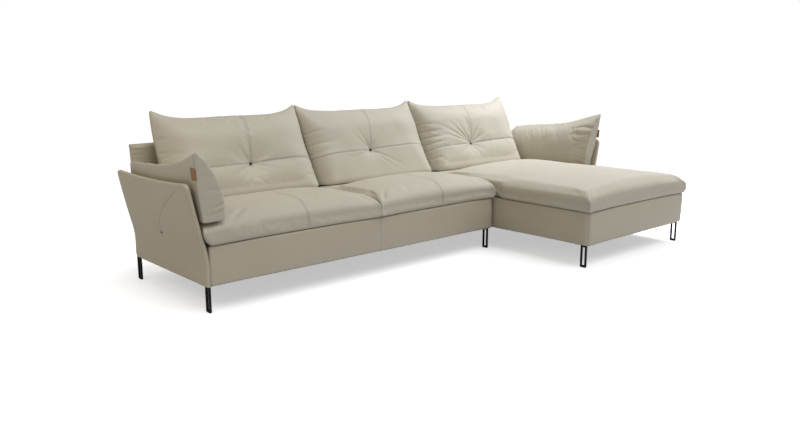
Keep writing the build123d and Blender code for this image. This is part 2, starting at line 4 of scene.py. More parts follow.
import bmesh
import bpy
import numpy as np
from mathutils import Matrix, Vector


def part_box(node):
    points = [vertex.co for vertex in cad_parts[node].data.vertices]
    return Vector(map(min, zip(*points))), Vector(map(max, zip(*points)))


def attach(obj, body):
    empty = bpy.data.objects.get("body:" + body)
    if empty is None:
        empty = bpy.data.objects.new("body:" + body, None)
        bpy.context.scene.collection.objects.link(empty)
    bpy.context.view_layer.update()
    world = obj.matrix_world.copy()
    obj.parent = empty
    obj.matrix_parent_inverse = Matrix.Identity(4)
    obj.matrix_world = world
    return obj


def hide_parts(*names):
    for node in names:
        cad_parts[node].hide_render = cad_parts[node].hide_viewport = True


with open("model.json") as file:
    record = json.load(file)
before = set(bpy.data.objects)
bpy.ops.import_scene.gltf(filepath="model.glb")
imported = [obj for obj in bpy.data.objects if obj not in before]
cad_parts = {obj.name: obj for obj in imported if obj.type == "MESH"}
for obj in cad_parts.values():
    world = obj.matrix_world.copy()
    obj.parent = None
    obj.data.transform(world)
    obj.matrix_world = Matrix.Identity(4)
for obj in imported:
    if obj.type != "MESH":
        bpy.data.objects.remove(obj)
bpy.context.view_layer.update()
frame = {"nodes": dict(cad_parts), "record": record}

# Looks of a leather sofa with a chaise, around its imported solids. Metres, +Z up, the front faces -Y.
scene = bpy.context.scene

# Camera, fitted to the base corners and legs in the photograph
camera_place = (-3.179, -3.233, 1.163)
camera_yaw = 41.97
camera_pitch = 11.43
camera_lens = 33.72

# Light and floor
sky_strength = 0.36
sun_angle = 40
sun_tilt = (30, 4)
sun_strength = 1.30
sun_tone = (0.94, 0.96, 1.0)
key_place = (2.5, 0.1, 2.8)
key_target = (0.9, -0.3, 0.4)
key_size = 1.6
key_power = 135
key_tone = (0.77, 0.83, 1.0)
side_place = (-3.3, 0.4, 2.2)
side_target = (-1.6, 0.5, 0.6)
side_size = 1.2
side_power = 13
side_tone = (1.0, 0.86, 0.66)
floor_size = 60
floor_bounce = 0.62
floor_tone = 0.80
floor_lift = 0.50

# Leather colours, linear
cushion_tone = (0.455, 0.41, 0.312)
frame_tone = (0.445, 0.39, 0.285)

# Cloth runs: pressure, growth, and the furthest that a point moves
seat_puff = (1.6, 0.008, 0.010)
back_puff = (1.5, 0.006, 0.009)
rest_puff = (2.5, 0.008, 0.014)
puff_steps = 20

# Sizes of the squares in the soft skins
seat_mesh = 0.009
chaise_mesh = 0.010
back_mesh = 0.010
rest_mesh = 0.008

# Seams: depth and width
seat_seam = (0.0035, 0.006)
back_seam = (0.0034, 0.006)
double_seam = (0.0028, 0.005)
base_seam = (0.003, 0.005)

# Back cushions
lean = radians(25)
back_sink = 0.026
button_depth = 0.087
back_front = 0.112
back_rear = 0.084
back_top_sag = 0.056
back_side_bow = 0.004
back_shoulder = 0.24
back_crown = 0.20
back_foot = 0.045
back_rear_side = 0.03
back_settle = 0.20
back_ear = 0.014
foot_shoulder = 0.08
tuft_reach = 0.050

# Seat cushions
seat_bow = 0.010
seat_nose = 0.085
seat_edge = 0.6
seat_end = 0.012
free_end = 0.045
flat_end = 0.03
seat_droop = 0.022
seat_lip = 0.014
seat_crown = 0.040
end_reach = 0.12
end_foot = 0.006
end_slope = 0.34
chaise_spread = 0.020
seat_dome = 0.26
seat_corner = 0.013
seat_fall = 0.44
press_ease = 0.04
press_lead = 0.062
press_room = 0.03
left_seam_shift = 0.043
middle_seam_shift = 0.020

# Arm panels
arm_thickness = 0.022
arm_bend = 0.14
arm_dip = 0.012
arm_rear_drop = 0.010
arm_rake = 0.024
arm_front_corner = 0.034
arm_rear_corner = 0.028
arm_edge = 0.009
bend_reach = 0.06
bulge = 0.2
pin_reach = 0.050
pin_tuck = 0.008
tuck_limit = 0.004

# Arm cushions
rest_width = 0.119
rest_lean = 0.032
left_tilt = radians(1)
right_tilt = radians(8)
left_nose = 0.97
right_nose = 0.62
left_tail = -0.022
right_tail = 0.030
rest_heel = 0.033
rest_marks = (0, 0.16, 0.33, 0.6, 1)
left_ridges = (0.345, 0.297, 0.268, 0.246, 0.231)
right_ridges = (0.392, 0.339, 0.311, 0.283, 0.250)
rest_belly = 0.050
rest_swell = 0.008
gusset = 0.012

# Base and back panels
base_wall = 0.012
base_round = 0.012
base_corner = 0.028
base_puff = 0.003
back_thickness = 0.050
back_round = 0.022
pleat_pitch = 0.026
quilt_pitch = 0.12


# Mesh helpers
def points_of(obj):
    """The object's points as an array."""
    points = np.empty(len(obj.data.vertices) * 3)
    obj.data.vertices.foreach_get("co", points)
    return points.reshape(-1, 3)


def normals_of(obj):
    """The object's point normals as an array."""
    normals = np.empty(len(obj.data.vertices) * 3)
    obj.data.vertex_normals.foreach_get("vector", normals)
    return normals.reshape(-1, 3)


def place_points(obj, points):
    """Write an array of points back to the object."""
    obj.data.vertices.foreach_set("co", points.astype(float).ravel())
    obj.data.update()


def keep_above(obj, z):
    """Lift the points that lie under a height up to it, and give them all back."""
    points = points_of(obj)
    points[:, 2] = np.maximum(points[:, 2], z)
    place_points(obj, points)
    return points


def add_object(name, points, faces):
    """A smooth mesh object with its faces turned outwards."""
    mesh = bpy.data.meshes.new(name)
    mesh.from_pydata([tuple(p) for p in points], [], faces)
    shell = bmesh.new()
    shell.from_mesh(mesh)
    bmesh.ops.remove_doubles(shell, verts=shell.verts, dist=1e-6)
    bmesh.ops.recalc_face_normals(shell, faces=shell.faces)
    shell.to_mesh(mesh)
    shell.free()
    mesh.polygons.foreach_set("use_smooth", [True] * len(mesh.polygons))
    obj = bpy.data.objects.new(name, mesh)
    scene.collection.objects.link(obj)
    return obj


def apply_modifiers(obj):
    """Write the result of the object's modifiers into its mesh."""
    graph = bpy.context.evaluated_depsgraph_get()
    mesh = bpy.data.meshes.new_from_object(obj.evaluated_get(graph))
    obj.modifiers.clear()
    obj.data = mesh


def quads(index):
    """Faces between the neighbours of a grid of point numbers."""
    corners = (index[:-1, :-1], index[:-1, 1:], index[1:, 1:], index[1:, :-1])
    return np.stack([c.ravel() for c in corners], axis=1).tolist()


def closed_pair(name, front, rear):
    """A closed skin from two grids of points that share their border."""
    rows, columns = front.shape[:2]
    index = np.arange(rows * columns).reshape(rows, columns)
    behind = index.copy()
    inner = (rows - 2) * (columns - 2)
    behind[1:-1, 1:-1] = rows * columns + np.arange(inner).reshape(rows - 2, columns - 2)
    points = np.vstack([front.reshape(-1, 3), rear[1:-1, 1:-1].reshape(-1, 3)])
    return add_object(name, points, quads(index) + quads(behind))


def marks(length, step, near=0.03):
    """Places along a length, drawn together towards both of its ends."""
    edge = near * (np.arange(7) / 7) ** 2
    middle = np.linspace(near, length - near, max(3, round((length - 2 * near) / step)))
    return np.concatenate([edge, middle, length - edge[::-1]])


def rounded(distance, reach, power):
    """Rises from 0 at an edge to 1 at reach, like the quarter of a rounded outline."""
    share = np.clip(distance / reach, 0, 1)
    return (1 - (1 - share) ** power) ** (1 / power)


def remesh(obj, size):
    """Even out the mesh into squares of about one size."""
    modifier = obj.modifiers.new("remesh", "REMESH")
    modifier.mode = "VOXEL"
    modifier.voxel_size = size
    modifier.use_smooth_shade = True
    apply_modifiers(obj)


def relax(obj, rounds, factor=0.5):
    """Smooth the mesh."""
    modifier = obj.modifiers.new("relax", "SMOOTH")
    modifier.iterations = rounds
    modifier.factor = factor
    apply_modifiers(obj)


def subdivide(obj):
    """One smooth subdivision."""
    modifier = obj.modifiers.new("finer", "SUBSURF")
    modifier.levels = 1
    modifier.render_levels = 1
    apply_modifiers(obj)


def puff(obj, hold, pressure, grow, cap):
    """Swell a skin with a short cloth run. hold is 1 where it stays. No point moves further than cap."""
    before = points_of(obj)
    group = obj.vertex_groups.new(name="held")
    for level in np.unique(np.round(hold, 1)):
        if level > 0:
            chosen = np.flatnonzero(np.round(hold, 1) == level)
            group.add(chosen.tolist(), float(level), "REPLACE")
    modifier = obj.modifiers.new("puff", "CLOTH")
    cloth = modifier.settings
    cloth.quality = 3
    cloth.mass = 0.3
    cloth.tension_stiffness = 12
    cloth.compression_stiffness = 12
    cloth.shear_stiffness = 4
    cloth.bending_stiffness = 0.4
    cloth.use_pressure = True
    cloth.uniform_pressure_force = pressure
    cloth.shrink_min = -grow
    cloth.vertex_group_mass = group.name
    cloth.effector_weights.gravity = 0
    modifier.collision_settings.use_collision = False
    for step in range(1, puff_steps + 1):
        scene.frame_set(step)
    apply_modifiers(obj)
    scene.frame_set(1)
    moved = points_of(obj) - before
    distance = np.linalg.norm(moved, axis=1, keepdims=True)
    moved *= np.minimum(1, cap / np.maximum(distance, 1e-9))
    place_points(obj, before + moved)
    obj.vertex_groups.clear()


def from_line(flat, start, end):
    """Distance of flat points from the line between two points, and their share of the way along it."""
    start = np.array(start, float)
    along = np.array(end, float) - start
    share = np.clip(((flat - start) @ along) / (along @ along), 0, 1)
    return np.linalg.norm(flat - start - share[:, None] * along, axis=1), share


def fold(distance, depth, width):
    """A crease with a raised lip on either side of it."""
    lip = 0.3 * np.exp(-((distance / (2.4 * width)) ** 2))
    return depth * (np.exp(-((distance / width) ** 2)) - lip)


def waves(points, size, seed):
    """Smooth uneven heights from -1 to 1 over the points, the same on each run."""
    draw = np.random.default_rng(seed)
    total = np.zeros(len(points))
    for _ in range(7):
        direction = draw.normal(size=3)
        direction *= 2 * pi / (size * np.linalg.norm(direction)) * draw.uniform(0.6, 1.5)
        total += np.sin(points @ direction + draw.uniform(0, 2 * pi))
    return total / 4


def sink(obj, depth, painted_shade=None):
    """Push the skin in along its normals, and note from 0 to 1 the painted shade that the leather gets
    there: by how deep the skin is pushed in, or as given.
    """
    place_points(obj, points_of(obj) - depth[:, None] * normals_of(obj))
    shade = np.clip(depth / 0.006, 0, 1) if painted_shade is None else np.clip(painted_shade, 0, 1)
    layer = obj.data.attributes.get("crease_shade") or obj.data.attributes.new("crease_shade", "FLOAT", "POINT")
    layer.data.foreach_set("value", shade.astype(np.float32))


def finish_piece(obj, body, nodes, material):
    """Say which body carries a piece, which solids it stands for and what it is made of."""
    obj.data.materials.clear()
    obj.data.materials.append(material)
    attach(obj, body)
    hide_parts(*nodes)


# Materials
def new_material(name, roughness):
    """A principled material, and handles on its nodes."""
    material = bpy.data.materials.new(name)
    material.use_nodes = True
    nodes = material.node_tree.nodes
    shader = nodes["Principled BSDF"]
    shader.inputs["Roughness"].default_value = roughness
    return material, nodes, material.node_tree.links, shader


def speckle(nodes, links, shader, tone, scale, spread):
    """Colour that wanders a little round one tone, by a noise in the object's own space."""
    place = nodes.new("ShaderNodeTexCoord")
    noise = nodes.new("ShaderNodeTexNoise")
    noise.inputs["Scale"].default_value = scale
    noise.inputs["Detail"].default_value = 5
    ramp = nodes.new("ShaderNodeMixRGB")
    ramp.inputs["Color1"].default_value = (*[c * (1 - spread) for c in tone], 1)
    ramp.inputs["Color2"].default_value = (*[min(1, c * (1 + spread)) for c in tone], 1)
    links.new(place.outputs["Object"], noise.inputs["Vector"])
    links.new(noise.outputs["Fac"], ramp.inputs["Fac"])
    links.new(ramp.outputs["Color"], shader.inputs["Base Color"])
    return place, ramp


def grain(nodes, links, shader, place, scale, strength, distance):
    """Fine pebbled bump."""
    cells = nodes.new("ShaderNodeTexVoronoi")
    cells.inputs["Scale"].default_value = scale
    bump = nodes.new("ShaderNodeBump")
    bump.inputs["Strength"].default_value = strength
    bump.inputs["Distance"].default_value = distance
    links.new(place.outputs["Object"], cells.inputs["Vector"])
    links.new(cells.outputs["Distance"], bump.inputs["Height"])
    links.new(bump.outputs["Normal"], shader.inputs["Normal"])


def leather(name, tone, roughness):
    """Grained leather with painted shade: its colour is darkened in creases, seams and tucks, by a value
    stored on the skin.
    """
    material, nodes, links, shader = new_material(name, roughness)
    shader.inputs["Specular IOR Level"].default_value = 0.6
    place, ramp = speckle(nodes, links, shader, tone, 2.6, 0.05)
    crease_shade = nodes.new("ShaderNodeAttribute")
    crease_shade.attribute_name = "crease_shade"
    depth = nodes.new("ShaderNodeMath")
    depth.operation = "MULTIPLY"
    depth.inputs[1].default_value = 0.65
    # Painted shade: the colour is mixed towards a quarter of its tone where the skin is marked as shaded
    painted_shade = nodes.new("ShaderNodeMixRGB")
    painted_shade.inputs["Color2"].default_value = (*[c * 0.25 for c in tone], 1)
    links.new(crease_shade.outputs["Fac"], depth.inputs[0])
    links.new(depth.outputs["Value"], painted_shade.inputs["Fac"])
    links.new(ramp.outputs["Color"], painted_shade.inputs["Color1"])
    links.new(painted_shade.outputs["Color"], shader.inputs["Base Color"])
    grain(nodes, links, shader, place, 420, 0.25, 0.0008)
    return material


def plain(name, tone, roughness, scale, spread, metallic=0.0, shine=0.5):
    """A quiet surface of one tone for metal, plastic, wood or cloth."""
    material, nodes, links, shader = new_material(name, roughness)
    shader.inputs["Metallic"].default_value = metallic
    shader.inputs["Specular IOR Level"].default_value = shine
    place, _ = speckle(nodes, links, shader, tone, scale, spread)
    grain(nodes, links, shader, place, scale * 6, 0.12, 0.0005)
    return material


cushion_leather = leather("cushion_leather", cushion_tone, 0.44)
frame_leather = leather("frame_leather", frame_tone, 0.50)
slot_materials = {
    "cushion_leather": cushion_leather,
    "frame_leather": frame_leather,
    "tan_leather": plain("tan_leather", (0.30, 0.14, 0.055), 0.55, 60, 0.15),
    "button_leather": plain("button_leather", (0.016, 0.013, 0.010), 0.6, 60, 0.2, 0.0, 0.2),
    "black_steel": plain("black_steel", (0.008, 0.007, 0.006), 0.5, 40, 0.2, 0.0, 0.2),
    "zinc_steel": plain("zinc_steel", (0.55, 0.55, 0.56), 0.35, 40, 0.08, 1.0),
    "glide_plastic": plain("glide_plastic", (0.02, 0.02, 0.02), 0.6, 60, 0.2),
    "webbing": plain("webbing", (0.05, 0.045, 0.04), 0.85, 90, 0.3),
    "deck_felt": plain("deck_felt", (0.20, 0.185, 0.16), 0.9, 120, 0.2),
    "dust_cloth": plain("dust_cloth", (0.02, 0.02, 0.02), 0.9, 120, 0.25),
    "frame_wood": plain("frame_wood", (0.42, 0.28, 0.15), 0.6, 14, 0.2),
}
for part in frame["record"]["subparts"]:
    solid = frame["nodes"][part["node"]]
    solid.data.materials.clear()
    solid.data.materials.append(slot_materials[part["material_slot"]])


# Front of the bases by X, which the seat cushions hang over
sofa_low, sofa_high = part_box("sofa_base_cover")
chaise_low, chaise_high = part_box("chaise_base_cover")


def sofa_front(x):
    """Y of the base's front face."""
    return np.where(x > chaise_low.x - 0.002, chaise_low.y, sofa_low.y) - 0.004


# Seat cushions: a soft nose all round, a crown, and a hollow where other cushions stand
def seat_cushion(name, body, seam, size, presses, spread, free_y=-10, folds=()):
    """One seat cushion, puffed, then sewn along its middle where it has a seam.
    A press is where a cushion stands on it: its front, how far in from its inner side, and its height.
    spread moves its ends out. They are free, and rounder, in front of free_y."""
    low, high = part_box(name)
    width, depth = high.x - low.x, high.y - low.y
    side_height = high.z - low.z - seat_crown
    middle = low.z + seat_edge * side_height
    u, v = np.meshgrid(marks(width, 0.016, 0.06), marks(depth, 0.016, 0.06))
    side = np.minimum(u, width - u)
    bow_x = seat_bow * (1 - (2 * u / width - 1) ** 2)
    bow_y = seat_bow * (1 - (2 * v / depth - 1) ** 2)
    x = low.x + u + bow_y * (1 - 2 * u / width)
    y = low.y + v + bow_x * (1 - 2 * v / depth)
    end = seat_end + (free_end - seat_end) * np.clip((free_y - y) / 0.06, 0, 1)
    nose = rounded(side, end, 2.3) * rounded(v, seat_nose, 2) * rounded(depth - v, seat_nose, 2)
    lip = rounded(side, seat_lip, 2.3) * rounded(v, seat_lip, 2.3) * rounded(depth - v, seat_lip, 2.3)
    arch = 1 - np.abs(2 * u / width - 1) ** 2.6
    dome = arch * rounded(v, seat_dome, 2) * np.clip((depth - v) / seat_fall, 0, 1)
    top = middle + (1 - seat_edge) * side_height * nose + seat_crown * dome
    for front, inner, rest in presses:
        share = np.clip((y - front) / press_ease, 0, 1) * np.clip(inner(x) / press_ease, 0, 1)
        ease = share * share * (3 - 2 * share)
        top = np.where(top > rest, top + ease * (rest - top), top)
    droop = seat_droop * np.clip((sofa_front(x) - y) / 0.012, 0, 1)
    bottom = middle - (seat_edge * side_height + droop) * lip
    above = np.dstack([x + spread(u, width - u, y, top - low.z), y, top])
    below = np.dstack([x + spread(u, width - u, y, bottom - low.z), y, bottom])
    cushion = closed_pair(f"{name}_soft", above, below)
    remesh(cushion, size)
    relax(cushion, 2)
    points = points_of(cushion)
    hold = np.where(points[:, 2] < low.z + 0.02, 1.0, 0.0)
    for front, inner, rest in presses:
        under = (points[:, 1] > front) & (inner(points[:, 0]) > 0)
        hold = np.where(under, 1.0, hold)
    puff(cushion, hold, *seat_puff)
    points = points_of(cushion)
    fade = np.clip((high.z - points[:, 2]) / (high.z - low.z), 0, 1) ** 0.5
    for toward, corner_x in ((-1, points[:, 0].min()), (1, points[:, 0].max())):
        inward = toward * (corner_x - points[:, 0])
        flatter = inward * np.clip(inward / flat_end, 0.05, 1) ** 0.6
        away = np.hypot(inward, points[:, 1] - points[:, 1].min())
        pull = seat_corner * np.clip(1 - away / 0.06, 0, 1) ** 2 * fade
        points[:, 0] += toward * (inward - flatter + pull)
        points[:, 1] -= pull
    place_points(cushion, points)
    height = np.clip((points[:, 2] - low.z) / (high.z - low.z), 0, 1)
    depth_in = 0.0016 * waves(points, 0.24, 5) * height
    painted_shade = np.zeros(len(points))
    if seam:
        line = np.abs(points[:, 0] - seam) + 10 * (points[:, 2] < low.z + 0.012)
        depth_in = depth_in + fold(line, *seat_seam)
        # Painted shade along the seam's groove
        painted_shade = 0.7 * np.exp(-((line / 0.005) ** 2))
    for start, end, deep, wide in folds:
        gap, share = from_line(points[:, :2], start, end)
        taper = np.sin(pi * np.clip(share, 0.02, 0.98)) ** 0.7
        depth_in = depth_in + fold(gap, deep, wide) * taper * height
    sink(cushion, depth_in, painted_shade)
    finish_piece(cushion, body, [name], cushion_leather)


back_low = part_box("back_cushion_left")[0]
rest_low, rest_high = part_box("arm_cushion_left")
left_press = (rest_low.y, lambda x: rest_high.x + press_room - x, back_low.z)
right_press = (rest_low.y, lambda x: x + rest_high.x + press_room, back_low.z)
back_press = (back_low.y - press_lead, lambda x: x + 10, back_low.z)
left_low, left_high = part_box("seat_cushion_left")
middle_low, middle_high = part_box("seat_cushion_middle")
seat_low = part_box("chaise_cushion")[0]


# How far a seat's ends move out, by the distance from each end, Y and the height above its foot
def end_ease(distance):
    """1 at an end, falling to 0 at end_reach from it."""
    return np.clip(1 - distance / end_reach, 0, 1) ** 2


def left_spread(from_left, from_right, y, height):
    """The left seat's outer end follows the arm panel out."""
    return -end_ease(from_left) * (end_foot + end_slope * np.clip(height, 0, 0.08))


def no_spread(from_left, from_right, y, height):
    """The middle seat keeps its ends."""
    return 0 * height


def side_spread(from_left, from_right, y, height):
    """The chaise cushion hangs over its free left side, and follows the arm panel on its right."""
    free = np.clip((left_low.y - 0.01 - y) / 0.04, 0, 1)
    left = -end_ease(from_left) * chaise_spread * free
    follow = end_foot + end_slope * np.clip(height, 0, 0.08)
    right = end_ease(from_right) * (follow + (chaise_spread - follow) * free)
    return left + right


left_seam = (left_low.x + left_high.x) / 2 + left_seam_shift
middle_seam = (middle_low.x + middle_high.x) / 2 + middle_seam_shift
corner_folds = [
    ((seat_low.x - 0.03, seat_low.y + 0.24), (seat_low.x + 0.10, seat_low.y + 0.22), 0.0016, 0.026),
    ((seat_low.x - 0.03, seat_low.y + 0.31), (seat_low.x + 0.13, seat_low.y + 0.32), 0.0024, 0.026),
    ((seat_low.x - 0.03, seat_low.y + 0.43), (seat_low.x + 0.10, seat_low.y + 0.45), 0.0016, 0.030),
]
seat_cushion("seat_cushion_left", "seat_left", left_seam, seat_mesh, [left_press, back_press], left_spread)
seat_cushion("seat_cushion_middle", "seat_middle", middle_seam, seat_mesh, [back_press], no_spread)
seat_cushion(
    "chaise_cushion",
    "chaise_seat",
    None,
    chaise_mesh,
    [right_press, back_press],
    side_spread,
    left_low.y,
    corner_folds,
)


# Back cushions: pillows drawn in at one button, with a double seam up and a seam to each side
up = np.array((0, sin(lean), cos(lean)))
out = np.array((0, -cos(lean), sin(lean)))


def back_cushion(side, body, ends, seam_top, creases, gathers):
    """One back cushion. ends are its left and right ends' swell halfway up, reach at the top and foot.
    seam_top is where its double seam meets the top edge, from the middle.
    A crease is an angle in degrees, a length and a depth, from the button.
    A gather is an end, a height there, a length, a rise and a depth."""
    name = f"back_cushion_{side}"
    low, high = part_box(name)
    button_low, button_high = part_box(f"back_button_{side}")
    button = np.array((button_low + button_high) / 2)
    tuft = (button[2] - low.z + back_sink - button_depth * sin(lean)) / cos(lean)
    foot_y = button[1] - tuft * sin(lean) + button_depth * cos(lean)
    foot = np.array(((low.x + high.x) / 2, foot_y, low.z - back_sink))
    shift = button[0] - foot[0]
    width = high.x - low.x
    height = (high.z - foot[2]) / cos(lean)
    u, v = np.meshgrid(marks(width, 0.014), marks(height, 0.014))
    across = 2 * u / width - 1
    upward = v / height
    x = (u - width / 2) - across * back_side_bow * (1 - (2 * upward - 1) ** 2)
    for toward, (swell, top_reach, foot_reach) in zip((-1, 1), ends):
        near_end = np.clip(toward * across, 0, 1) ** 4
        reach = top_reach * upward + foot_reach * (1 - upward) ** 2
        x = x + toward * near_end * (swell * 5.4 * upward ** 1.5 * (1 - upward) + reach)
    h = v - upward ** 3 * back_top_sag * (1 - np.abs(across) ** 5.5)
    h = h + back_ear * upward ** 4 * np.abs(across) ** 8
    side_in = np.minimum(u, width - u)
    upright = rounded(v, back_foot, 2) * rounded(height - v, back_crown, 1.75)
    shoulder = foot_shoulder + (back_shoulder - foot_shoulder) * np.clip(2 * upward, 0, 1)
    plump = upright * rounded(side_in, shoulder, 1.75)
    rear = back_rear * upright * rounded(side_in, back_rear_side + 0.08 * upward, 2)
    front = back_front * plump
    from_tuft = np.hypot((x - shift) / 1.2, h - tuft)
    tuck = (back_front - button_depth + 0.008) * np.exp(-from_tuft / tuft_reach)
    front = front - np.minimum(front, tuck)
    settle = np.tan(lean) * front * np.clip(1 - v / back_settle, 0, 1) ** 1.5
    flat = foot + x[..., None] * np.array((1, 0, 0)) + h[..., None] * up
    ahead = flat + front[..., None] * out - settle[..., None] * up
    cushion = closed_pair(f"{name}_soft", ahead, flat - rear[..., None] * out)
    remesh(cushion, back_mesh)
    points = keep_above(cushion, low.z)

    def from_button(points):
        """The points from the cushion's foot, in its plane from its button, and how far from it."""
        local = points - foot
        flat = np.stack([local[:, 0] - shift, local @ up - tuft], axis=1)
        return local, flat, np.linalg.norm(flat, axis=1)

    # Held where it is sewn or stands, and eased near its seams and foot
    local, flat, reach = from_button(points)
    held = (local @ out < 0.004) | (points[:, 2] < low.z + 0.004) | (reach < 0.026)
    hold = np.where(held, 1.0, 0.0)
    rows = np.abs(flat[:, 1]) < 0.008
    column = (np.abs(flat[:, 0]) < 0.008) & (flat[:, 1] > 0)
    hold = np.where((rows | column) & (hold == 0), 0.3, hold)
    hold = np.where((points[:, 2] < low.z + 0.06) & (hold < 0.6), 0.6, hold)
    puff(cushion, hold, *back_puff)
    subdivide(cushion)
    keep_above(cushion, low.z)

    # Seams, creases and gathers, in the plane of the cushion, measured from its button, with painted shade
    # round the button and in the seam grooves, and darker at the ear tips
    local, flat, reach = from_button(points_of(cushion))
    fade_in = np.clip((reach - 0.012) / 0.02, 0, 1)
    depth = np.zeros(len(local))
    # Painted shade round the button, in the seam grooves below, and darker at the ear tips
    painted_shade = np.exp(-((reach / 0.016) ** 2))
    for edge in (-1, 1):
        end = edge * width / 2 - shift
        gap, _ = from_line(flat, (0, 0), (end, 0.012 * edge))
        depth += fold(gap, *back_seam) * fade_in
        painted_shade += 0.45 * np.exp(-((gap / 0.0045) ** 2)) * fade_in
        top = seam_top - shift + 0.006 * edge
        gap, _ = from_line(flat, (0.004 * edge, 0), (top, height - tuft))
        depth += fold(gap, *double_seam) * fade_in
        painted_shade += 0.4 * np.exp(-((gap / 0.0035) ** 2)) * fade_in
        ear = np.hypot(flat[:, 0] - end, flat[:, 1] - (height - tuft))
        painted_shade += 0.8 * np.exp(-((ear / 0.016) ** 2))
    for angle, length, deep in creases:
        tip = (length * cos(radians(angle)), length * sin(radians(angle)))
        gap, share = from_line(flat, (0, 0), tip)
        depth += fold(gap, deep, 0.006 + 0.008 * share) * fade_in * (1 - share) ** 0.8
    for edge, rise, length, slope, deep in gathers:
        end = edge * width / 2 - shift
        gap, share = from_line(flat, (end, rise - tuft), (end - edge * length, rise + slope - tuft))
        depth += fold(gap, deep, 0.008 + 0.006 * share) * (1 - share) ** 0.8
    depth += 0.002 * waves(local, 0.22, len(side))
    ahead = local @ out > 0.006
    sink(cushion, depth * ahead, painted_shade * (local @ out > -0.01))
    keep_above(cushion, low.z)
    finish_piece(cushion, body, [name], cushion_leather)


back_cushion(
    "left",
    "back_left",
    ((0.012, -0.008, 0), (0, 0.005, 0.005)),
    0.062,
    [(125, 0.14, 0.003), (70, 0.12, 0.003), (208, 0.17, 0.005), (232, 0.13, 0.004), (318, 0.12, 0.003),
     (342, 0.16, 0.004)],
    [(1, 0.25, 0.10, 0.01, 0.003), (-1, 0.30, 0.08, -0.02, 0.003), (-1, 0.38, 0.07, -0.02, 0.003)],
)
back_cushion(
    "middle",
    "back_middle",
    ((0, 0.005, 0), (0, 0.005, 0)),
    0.020,
    [(118, 0.17, 0.005), (138, 0.17, 0.004), (48, 0.19, 0.005), (62, 0.13, 0.003), (330, 0.28, 0.005),
     (316, 0.22, 0.004), (196, 0.20, 0.004), (212, 0.16, 0.003)],
    [(-1, 0.27, 0.16, 0.0, 0.004), (-1, 0.35, 0.13, 0.0, 0.004), (-1, 0.21, 0.12, 0.01, 0.003)],
)
back_cushion(
    "right",
    "back_right",
    ((0, 0.005, 0), (0.016, 0.022, -0.030)),
    0.005,
    [(150, 0.36, 0.007), (161, 0.38, 0.006), (136, 0.30, 0.006), (120, 0.24, 0.005), (47, 0.30, 0.007),
     (25, 0.20, 0.004), (205, 0.18, 0.004), (330, 0.14, 0.003)],
    [(-1, 0.20, 0.20, 0.0, 0.006), (-1, 0.25, 0.19, -0.01, 0.007), (-1, 0.30, 0.18, -0.02, 0.006),
     (-1, 0.36, 0.14, -0.03, 0.004)],
)


